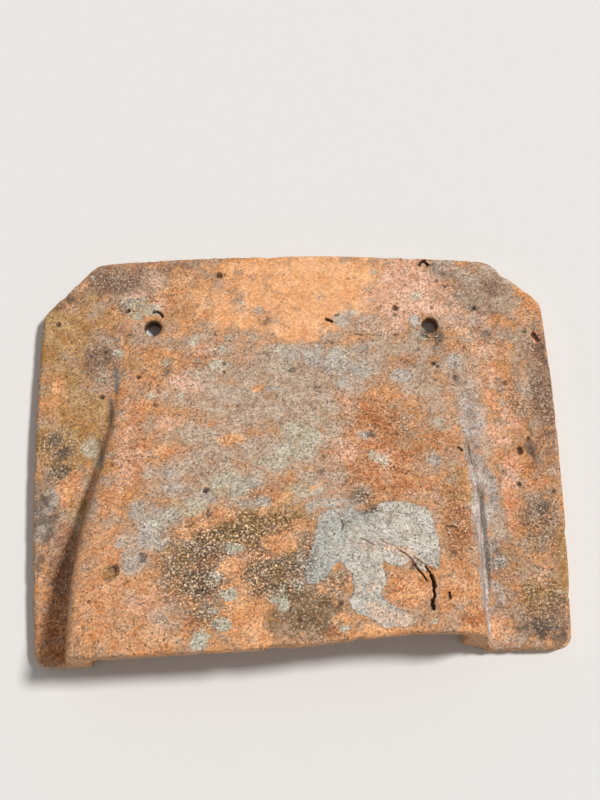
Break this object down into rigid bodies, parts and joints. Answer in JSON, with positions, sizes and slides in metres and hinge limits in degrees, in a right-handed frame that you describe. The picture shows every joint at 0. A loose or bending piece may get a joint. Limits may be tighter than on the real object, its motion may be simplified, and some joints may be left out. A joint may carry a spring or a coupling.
{
  "type": "clay roof vent tile",
  "caption": "Hooded clay roof tile: a flat nailed plate with clipped upper corners and a hood that rises to an open mouth at the front, letting air out of the roof space.",
  "frame": {"origin": "middle of the tile's bounding box, on its flat underside", "axes": "+X across the roof, +Y up the slope towards the nailed head, so the open mouth of the hood faces -Y, +Z out of the roof"},
  "size_m": [0.34, 0.272, 0.0617],
  "materials": {
    "fired_clay": "unglazed orange terracotta, weathered, with grey and brown lichen"
  },
  "bodies": {
    "root": {"vent_tile": "fired_clay"}
  },
  "joints": []
}
